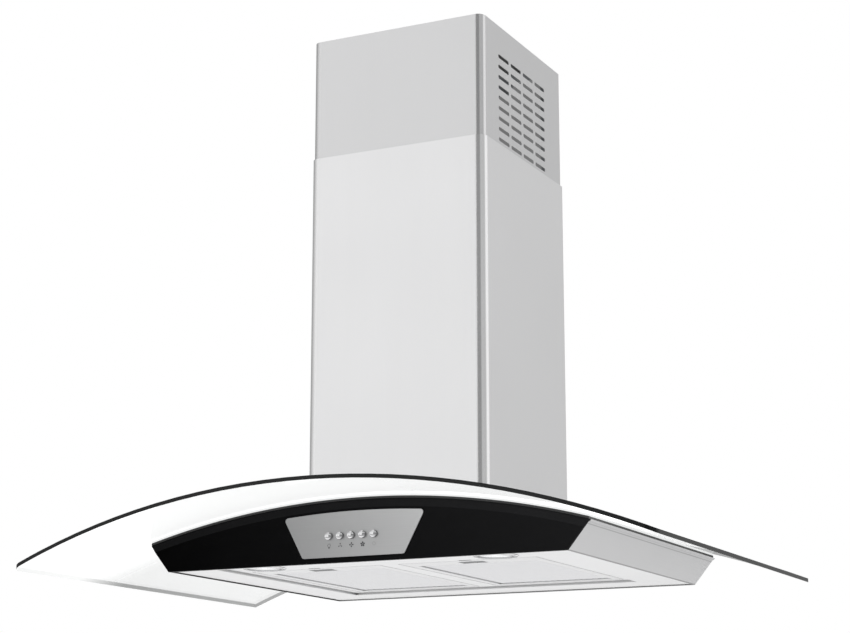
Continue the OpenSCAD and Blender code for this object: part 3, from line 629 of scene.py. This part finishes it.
class Finish(Enum):
    """Every finish of the hood, by the record's slot or by its use on a piece."""

    LOWER_COVER = BrushedSteel(
        "lower_cover_steel", (0.86, 0.86, 0.865), contrast=0.012, bend_polish=0.2, inside_shade=0.5
    )
    UPPER_COVER = BrushedSteel(
        "upper_cover_steel", (0.73, 0.73, 0.735), contrast=0.015, bend_polish=0.2, inside_shade=0.5
    )
    BODY = BrushedSteel(
        "body_steel", (0.55, 0.55, 0.555), grain=(900.0, 6.0, 900.0), contrast=0.025, seam_reach=0.005, fold_shade_lines=True
    )
    PAN = BrushedSteel("pan_steel", (0.81, 0.81, 0.815), grain=(6.0, 900.0, 900.0), contrast=0.02, seam_reach=0.006)
    # Painted shade: the control plate's colour is darker towards its left end.
    CONTROL = BrushedSteel(
        "control_aluminium", (0.57, 0.572, 0.575), grain=(8.0, 900.0, 1100.0), roughness=0.4, contrast=0.05,
        shade_sweep=(-0.11, 0.12, 0.58),
    )
    ZINC = ZincSheet("zinc_sheet", (0.56, 0.58, 0.6))
    GLASS = CanopyGlass("canopy_glass", (0.39, 0.4, 0.395), (0.006, 0.007, 0.007))
    SEAL = GlassSeal("glass_seal", (0.012, 0.012, 0.012), (0.45, 0.455, 0.455))
    FASCIA = GlossPanel("fascia_gloss", (0.021, 0.021, 0.022))
    CHROME = Polished("chrome", (0.8, 0.8, 0.81), roughness=0.1)
    PLATED = Polished("plated_screws", (0.62, 0.62, 0.63), roughness=0.24)
    FILTER_FRAME = Polished("filter_frame_aluminium", (0.78, 0.78, 0.785), roughness=0.34)
    WEAVE = Polished("mesh_aluminium", (0.72, 0.72, 0.73), roughness=0.34)
    WHITE_PLASTIC = Moulded("white_plastic", (0.78, 0.78, 0.76))
    BLACK_PLASTIC = Moulded("black_plastic", (0.025, 0.025, 0.027), roughness=0.5)
    LATCH = Moulded("latch_plastic", (0.28, 0.285, 0.29), roughness=0.42)
    INK = Moulded("printed_ink", (0.05, 0.05, 0.055), roughness=0.5, relief=0.00001)
    FAINT_INK = Moulded("faint_ink", (0.3, 0.3, 0.31), roughness=0.5, relief=0.00001)
    FAN = Enamel("fan_powder_coat", (0.22, 0.225, 0.235))
    MOTOR = Enamel("motor_enamel", (0.03, 0.03, 0.032), roughness=0.34)
    IMPELLER = Moulded("impeller_plastic", (0.045, 0.045, 0.05), roughness=0.4)
    LAMP_GLASS = Frosted("lamp_glass", (0.93, 0.94, 0.95))

    @cached_property
    def material(self) -> bpy.types.Material:
        """The finish's material, made the first time it is asked for."""
        return self.value.make()


NODE_FINISH: dict[Finish, tuple[str, ...]] = {
    Finish.LOWER_COVER: ("lower_cover_front", "lower_cover_back"),
    Finish.UPPER_COVER: ("upper_cover_front", "upper_cover_back"),
    Finish.BODY: ("hood_shell",),
    Finish.PAN: ("underside_pan",),
    Finish.CONTROL: ("control_plate",),
    Finish.ZINC: (
        "ceiling_plate", "upper_rails", "lower_rails", "plenum_neck", "deck_plate", "motor_bracket",
        "damper_flap_back", "damper_flap_front",
    ),
    Finish.GLASS: ("canopy_glass",),
    Finish.SEAL: ("glass_seal",),
    Finish.FASCIA: ("fascia",),
    Finish.CHROME: (
        "lamp_ring_left", "lamp_ring_right", "button_light", "button_low", "button_medium", "button_high",
        "button_off",
    ),
    Finish.PLATED: (
        "upper_cover_screws", "lower_cover_screws", "deck_screws", "rail_bolts", "foot_bolts", "motor_bearings",
        "motor_shaft", "impeller_nut", "damper_rod",
    ),
    Finish.FILTER_FRAME: ("filter_frame_left", "filter_frame_right"),
    Finish.WEAVE: ("filter_mesh_left", "filter_mesh_right"),
    Finish.WHITE_PLASTIC: (
        "switch_block", "lamp_housing_left", "lamp_housing_right", "outlet_collar", "connection_box",
        "connection_box_lid", "run_capacitor",
    ),
    Finish.BLACK_PLASTIC: ("inlet_guard", "cable_gland"),
    Finish.LATCH: ("filter_latch_left", "filter_latch_right"),
    Finish.FAN: ("scroll_casing",),
    Finish.MOTOR: ("motor_case",),
    Finish.IMPELLER: ("impeller",),
    Finish.LAMP_GLASS: ("lamp_lens_left", "lamp_lens_right", "lamp_bulb_left", "lamp_bulb_right"),
}


# ------------------------------------------------------------------ modelling tools


def deselect() -> None:
    """Leaves nothing selected and object mode on."""
    if bpy.context.object and bpy.context.object.mode != "OBJECT":
        bpy.ops.object.mode_set(mode="OBJECT")
    bpy.ops.object.select_all(action="DESELECT")


def settle(name: str) -> bpy.types.Object:
    """Names the active object and moves its place, turn and scale into its mesh.

    Args:
        name: the piece's name.

    Returns:
        The object, at the origin.
    """
    piece = bpy.context.object
    piece.name = piece.data.name = name
    bpy.ops.object.transform_apply(location=True, rotation=True, scale=True)
    return piece


@contextmanager
def editing(piece: bpy.types.Object) -> Iterator[bmesh.types.BMesh]:
    """Puts one piece in edit mode and gives its edit mesh."""
    deselect()
    bpy.context.view_layer.objects.active = piece
    piece.select_set(True)
    bpy.ops.object.mode_set(mode="EDIT")
    yield bmesh.from_edit_mesh(piece.data)
    bpy.ops.object.mode_set(mode="OBJECT")


def pick_faces(mesh: bmesh.types.BMesh, wanted: Callable[[bmesh.types.BMFace], bool]) -> None:
    """Selects the faces that pass a test, and no others.

    Args:
        mesh: the edit mesh.
        wanted: the test.
    """
    bpy.ops.mesh.select_mode(type="FACE")
    for face in mesh.faces:
        face.select_set(wanted(face))
    mesh.select_flush_mode()


def finish_with(piece: bpy.types.Object, kind: str, **settings: object) -> None:
    """Adds one modifier to a piece and applies it.

    Args:
        piece: the piece.
        kind: the modifier's type.
        settings: the modifier's settings.
    """
    deselect()
    bpy.context.view_layer.objects.active = piece
    piece.select_set(True)
    made = piece.modifiers.new(kind.lower(), kind)
    for key, setting in settings.items():
        setattr(made, key, setting)
    bpy.ops.object.modifier_apply(modifier=made.name)


def box_piece(name: str, low: Vector, high: Vector, bevel: float) -> bpy.types.Object:
    """Models a block with rounded edges.

    Args:
        name: the piece's name.
        low: its lowest corner.
        high: its highest corner.
        bevel: the width of its rounding.

    Returns:
        The piece.
    """
    deselect()
    bpy.ops.mesh.primitive_cube_add(size=1, location=(low + high) / 2, scale=high - low)
    piece = settle(name)
    finish_with(piece, "BEVEL", width=bevel, segments=3)
    return piece


def joined(name: str, pieces: Sequence[bpy.types.Object]) -> bpy.types.Object:
    """Joins pieces into one.

    Args:
        name: the whole piece's name.
        pieces: what it is made of.

    Returns:
        The whole piece.
    """
    deselect()
    for piece in pieces:
        piece.select_set(True)
    bpy.context.view_layer.objects.active = pieces[0]
    if len(pieces) > 1:
        bpy.ops.object.join()
    whole = pieces[0]
    whole.name = whole.data.name = name
    return whole


def fit(piece: bpy.types.Object, body: str, finish: Finish, smooth: float = 35.0,
        replaces: Sequence[str] = ()) -> None:
    """Dresses a piece and makes it ride on its body.

    Args:
        piece: the piece.
        body: the body that carries it.
        finish: its finish.
        smooth: faces that meet at less than this many degrees are shaded as one.
        replaces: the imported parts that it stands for.
    """
    deselect()
    bpy.context.view_layer.objects.active = piece
    piece.select_set(True)
    bpy.ops.object.shade_smooth_by_angle(angle=math.radians(smooth))
    piece.data.materials.clear()
    piece.data.materials.append(finish.material)
    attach(piece, body)
    if replaces:
        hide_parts(*replaces)
    LOG.info("%s: %d faces on %s", piece.name, len(piece.data.polygons), body)


# ------------------------------------------------------------------ sub-assemblies


@dataclass
class GreaseFilter:
    """The mesh pack of one filter: an expanded sheet below and above a crumpled foil core."""

    side: str
    cell_w: float = 9 * MM
    cell_d: float = 5.2 * MM
    strand: float = 0.9 * MM
    tuck: float = 2.0 * MM
    core_waves: float = 0.9 * MM

    def build(self) -> None:
        """Models the pack inside its frame."""
        low, high = (Vector(corner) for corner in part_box(f"filter_mesh_{self.side}"))
        low = low + Vector((self.tuck, self.tuck, 0))
        high = high - Vector((self.tuck, self.tuck, 0))
        sheets = [self.sheet(low, high, low.z + self.strand / 2), self.sheet(low, high, high.z - self.strand / 2)]
        pack = joined(f"filter_weave_{self.side}", sheets)
        fit(pack, f"{self.side}_filter", Finish.WEAVE, replaces=[f"filter_mesh_{self.side}"])
        core = self.core(low, high)
        fit(core, f"{self.side}_filter", Finish.WEAVE, smooth=60)

    def sheet(self, low: Vector, high: Vector, z: float) -> bpy.types.Object:
        """Models one sheet of diamond mesh.

        Args:
            low: the pack's lowest corner.
            high: its highest corner.
            z: the sheet's middle height.

        Returns:
            The sheet.
        """
        middle = (low + high) / 2
        reach = max(high.x - low.x, (high.y - low.y) * self.cell_w / self.cell_d) * 1.5
        cells = math.ceil(reach / (self.cell_w / math.sqrt(2)))
        deselect()
        bpy.ops.mesh.primitive_grid_add(
            x_subdivisions=cells, y_subdivisions=cells, size=cells * self.cell_w / math.sqrt(2),
            rotation=(0, 0, math.radians(45)),
        )
        settle("weave_sheet")
        bpy.ops.transform.resize(value=(1, self.cell_d / self.cell_w, 1))
        bpy.ops.transform.translate(value=(middle.x, middle.y, z))
        sheet = settle("weave_sheet")
        with editing(sheet):
            for axis, place, keep in ((0, low.x, -1), (0, high.x, 1), (1, low.y, -1), (1, high.y, 1)):
                bpy.ops.mesh.select_all(action="SELECT")
                normal = [0.0, 0.0, 0.0]
                normal[axis] = float(keep)
                point = [0.0, 0.0, 0.0]
                point[axis] = place
                bpy.ops.mesh.bisect(plane_co=point, plane_no=normal, clear_outer=True)
        finish_with(sheet, "WIREFRAME", thickness=self.strand, use_even_offset=False)
        return sheet

    def core(self, low: Vector, high: Vector) -> bpy.types.Object:
        """Models the crumpled foil between the two sheets.

        Args:
            low: the pack's lowest corner.
            high: its highest corner.

        Returns:
            The core.
        """
        middle = (low + high) / 2
        deselect()
        bpy.ops.mesh.primitive_grid_add(x_subdivisions=90, y_subdivisions=130, size=1, location=middle)
        bpy.ops.transform.resize(value=(high.x - low.x, high.y - low.y, 1), center_override=middle)
        core = settle(f"filter_core_{self.side}")
        bulge = bpy.data.textures.new(f"foil_{self.side}", "CLOUDS")
        bulge.noise_scale = 0.006
        finish_with(
            core, "DISPLACE", texture=bulge, texture_coords="LOCAL", direction="Z", strength=2 * self.core_waves,
            mid_level=0.5,
        )
        finish_with(core, "SOLIDIFY", thickness=0.3 * MM, offset=0.0)
        return core


@dataclass
class Latch:
    """The finger ridges on one filter latch."""

    side: str
    ridges: int = 4
    ridge_w: float = 0.9 * MM
    ridge_h: float = 0.5 * MM

    def build(self) -> None:
        """Models the ridges across the latch's handle."""
        low, high = (Vector(corner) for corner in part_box(f"filter_latch_{self.side}"))
        start = high.y - 10.5 * MM
        made = []
        for number in range(self.ridges):
            y = start + number * 2.6 * MM
            made.append(
                box_piece(
                    f"ridge_{number}",
                    Vector((low.x + 1 * MM, y, low.z - self.ridge_h)),
                    Vector((high.x - 1 * MM, y + self.ridge_w, low.z + self.ridge_h)),
                    0.3 * MM,
                )
            )
        fit(joined(f"latch_ridges_{self.side}", made), f"{self.side}_latch", Finish.LATCH)


@dataclass
class LampLens:
    """The pressed glass of one lamp: a shallow dome with ring ribs."""

    side: str
    ribs: int = 7
    rib_h: float = 0.5 * MM
    dome: float = 1.3 * MM

    def build(self) -> None:
        """Models the lens by insetting rings in a disc and lifting every second one."""
        name = f"lamp_lens_{self.side}"
        low, high = (Vector(corner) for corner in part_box(name))
        middle = (low + high) / 2
        radius = (high.x - low.x) / 2
        step = radius / (2 * self.ribs + 1)
        deselect()
        bpy.ops.mesh.primitive_cylinder_add(
            vertices=96, radius=radius, depth=high.z - low.z, location=middle, end_fill_type="NGON"
        )
        lens = settle(f"ribbed_lens_{self.side}")
        with editing(lens) as mesh:
            pick_faces(mesh, lambda face: face.normal.z < -0.9)
            for ring in range(2 * self.ribs):
                bpy.ops.mesh.inset(thickness=step, depth=0)
                lift = self.rib_h if ring % 2 == 0 else -self.rib_h
                share = 1 - ring / (2 * self.ribs)
                bpy.ops.transform.translate(value=(0, 0, -lift - self.dome * share / self.ribs / 2))
        finish_with(lens, "BEVEL", width=0.2 * MM, segments=2, limit_method="ANGLE", angle_limit=math.radians(30))
        fit(lens, "canopy", Finish.LAMP_GLASS, smooth=50, replaces=[name])


@dataclass
class ControlMarks:
    """The small generic marks printed under the five buttons."""

    drop: float = 12.5 * MM
    mark: float = 3.4 * MM
    ink: float = 0.12 * MM
    buttons: tuple[str, ...] = field(default=("light", "low", "medium", "high", "off"))

    def build(self) -> None:
        """Models one mark under each button."""
        plate_low, _ = (Vector(corner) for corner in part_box("control_plate"))
        for number, name in enumerate(self.buttons):
            low, high = (Vector(corner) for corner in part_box(f"button_{name}"))
            centre = Vector(((low.x + high.x) / 2, plate_low.y - self.ink / 2, (low.z + high.z) / 2 - self.drop))
            if name == "light":
                parts = self.lamp_mark(centre)
            elif name == "off":
                parts = self.ring_mark(centre)
            else:
                parts = self.fan_mark(centre, blades=number + 2, blade=self.mark * (0.27 + 0.07 * number))
            finish = Finish.FAINT_INK if name == "off" else Finish.INK
            fit(joined(f"mark_{name}", parts), "canopy", finish)

    def disc(self, centre: Vector, radius: float, stretch: tuple[float, float] = (1, 1), turn: float = 0.0,
             sides: int = 20) -> bpy.types.Object:
        """Models a thin disc that faces the front.

        Args:
            centre: its middle.
            radius: its radius.
            stretch: how much wider and taller it is than round.
            turn: its turn in the plate's plane, in degrees.
            sides: how many corners its outline has.

        Returns:
            The disc.
        """
        deselect()
        bpy.ops.mesh.primitive_cylinder_add(
            vertices=sides, radius=radius, depth=self.ink, location=centre,
            rotation=(math.radians(90), math.radians(turn), 0), scale=(stretch[0], stretch[1], 1),
        )
        return settle("disc")

    def fan_mark(self, centre: Vector, blades: int, blade: float) -> list[bpy.types.Object]:
        """Models a fan of round-ended blades about a hub."""
        parts = [self.disc(centre, self.mark * 0.16)]
        for number in range(blades):
            angle = 2 * math.pi * number / blades + math.pi / 2
            place = centre + Vector((math.cos(angle), 0, math.sin(angle))) * self.mark * 0.62
            parts.append(self.disc(place, blade * 0.66, (1.15, 0.95), -math.degrees(angle)))
        return parts

    def ring(self, centre: Vector, radius: float) -> bpy.types.Object:
        """Models a thin ring that faces the front."""
        deselect()
        bpy.ops.mesh.primitive_torus_add(
            location=centre, rotation=(math.radians(90), 0, 0), major_radius=radius, minor_radius=0.22 * MM,
            major_segments=28, minor_segments=6,
        )
        ring = settle("ring")
        bpy.ops.transform.resize(value=(1, 0.3, 1), center_override=centre)
        return settle("ring")

    def lamp_mark(self, centre: Vector) -> list[bpy.types.Object]:
        """Models a bulb outline over its cap."""
        bulb = centre + Vector((0, 0, self.mark * 0.15))
        cap = centre - Vector((0, 0, self.mark * 0.75))
        return [self.ring(bulb, self.mark * 0.62), self.disc(cap, self.mark * 0.28)]

    def ring_mark(self, centre: Vector) -> list[bpy.types.Object]:
        """Models a plain ring."""
        return [self.ring(centre, self.mark * 0.62)]


@dataclass
class Studio:
    """The floor, the lights and the camera."""

    camera_place: tuple[float, float, float] = (1.2175, -2.5081, -1.048)
    camera_turn: float = 26.31
    camera_rise: float = 13.29
    lens: float = 84.9
    floor_size: float = 16.0
    floor_drop: float = 1.9
    ceiling_size: float = 0.252
    under_place: tuple[float, float, float] = (-2.2, 1.4, -1.88)
    under_size: float = 7.0
    under_power: float = 100.0
    fill: float = 1.09
    around: tuple[tuple[float, float], ...] = (
        (-180, 0.4), (-142, 0.75), (-122, 1.0), (-107, 1.0), (-96, 0.25), (-60, 0.25), (-48, 0.5),
        (2, 0.5), (12, 0.95), (46, 0.95), (64, 0.5), (120, 0.5), (155, 0.3), (180, 0.4),
    )

    def build(self) -> None:
        """Sets the whole studio up."""
        bpy.context.scene.view_settings.view_transform = "Standard"
        self.camera()
        self.floor()
        self.ceiling()
        self.world()
        self.lamp("under_light", self.under_place, (*self.under_place[:2], 0), self.under_size, self.under_power)

    def camera(self) -> None:
        """Places the camera low in front and to the right, looking up at the hood."""
        data = bpy.data.cameras.new("camera")
        data.lens = self.lens
        camera = bpy.data.objects.new("camera", data)
        camera.location = self.camera_place
        camera.rotation_euler = (math.radians(90 + self.camera_rise), 0, math.radians(self.camera_turn))
        bpy.context.collection.objects.link(camera)
        bpy.context.scene.camera = camera

    def floor(self) -> None:
        """Lays a plain pale floor well below the hood."""
        deselect()
        bpy.ops.mesh.primitive_plane_add(size=self.floor_size, location=(0, 0, -self.floor_drop))
        floor = settle("floor")
        shader = Shader("floor_paint")
        patch = shader.noise((2, 2, 2), 2.0)
        shader.set(
            Base_Color=shader.blend(patch, (0.80, 0.80, 0.80), (0.84, 0.84, 0.84)), Roughness=patch * 0.1 + 0.6
        )
        floor.data.materials.append(shader.material)

    def ceiling(self) -> None:
        """Closes the ceiling above the chimney with one small patch, which only the vents show; its dark grey is
        painted shade for the inside of the chimney.
        """
        deselect()
        bpy.ops.mesh.primitive_plane_add(size=self.ceiling_size, location=(0, 0, 0.5 * MM))
        patch = settle("ceiling_patch")
        shader = Shader("ceiling_painted_shade")
        haze = shader.noise((5, 5, 5), 2.0)
        # Painted shade: the patch's dark grey stands in for the shade inside the chimney.
        shader.set(
            Base_Color=shader.blend(haze, (0.2, 0.2, 0.2), (0.24, 0.24, 0.24)), Roughness=haze * 0.1 + 0.8
        )
        patch.data.materials.append(shader.material)

    def world(self) -> None:
        """Surrounds the hood with soft light that changes around it, before a white backdrop."""
        world = bpy.data.worlds.new("studio")
        bpy.context.scene.world = world
        world.use_nodes = True
        sky = Shader.around(world.node_tree)
        start = sky.node("ShaderNodeTexCoord", {}, {})
        parts = sky.node("ShaderNodeSeparateXYZ", {}, {0: start.outputs["Generated"]})
        turn = sky.node("ShaderNodeMath", {"operation": "ARCTAN2"}, {0: parts.outputs[1], 1: parts.outputs[0]})
        share = Value(sky, turn.outputs[0]).ramp(-math.pi, math.pi)
        stops = [((angle + 180) / 360, (grey, grey, grey)) for angle, grey in self.around]
        ring = sky.node("ShaderNodeValToRGB", {"stops": stops}, {0: share})
        lit = sky.node("ShaderNodeBackground", {}, {"Color": ring.outputs[0], "Strength": self.fill})
        seen = sky.node("ShaderNodeBackground", {}, {"Color": (1.0, 1.0, 1.0), "Strength": 1.0})
        path = sky.node("ShaderNodeLightPath", {}, {})
        mix = sky.node(
            "ShaderNodeMixShader", {}, {0: path.outputs["Is Camera Ray"], 1: lit.outputs[0], 2: seen.outputs[0]}
        )
        sky.node("ShaderNodeOutputWorld", {}, {"Surface": mix.outputs[0]})

    def lamp(self, name: str, place: Sequence[float], target: Sequence[float], size: float, power: float) -> None:
        """Hangs one soft square light.

        Args:
            name: its name.
            place: where it hangs.
            target: what it points at.
            size: its side.
            power: its power in watts.
        """
        data = bpy.data.lights.new(name, "AREA")
        data.size = size
        data.energy = power
        lamp = bpy.data.objects.new(name, data)
        lamp.location = place
        lamp.rotation_euler = (Vector(target) - Vector(place)).to_track_quat("-Z", "Y").to_euler()
        lamp.visible_camera = False
        bpy.context.collection.objects.link(lamp)


def dress_frame(frame: dict) -> None:
    """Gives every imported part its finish.
    """
    for finish, nodes in NODE_FINISH.items():
        for name in nodes:
            part = frame["nodes"][name]
            for slot in part.material_slots:
                slot.material = finish.material
            LOG.info("%s: %s", name, finish.value.name)


def main() -> None:
    """Builds the studio, the finishes and every extra piece."""
    logging.basicConfig(level=logging.INFO, format="%(name)s %(message)s")
    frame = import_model()
    Studio().build()
    dress_frame(frame)
    for side in ("left", "right"):
        GreaseFilter(side).build()
        Latch(side).build()
        LampLens(side).build()
    ControlMarks().build()


if __name__ == "__main__":
    main()
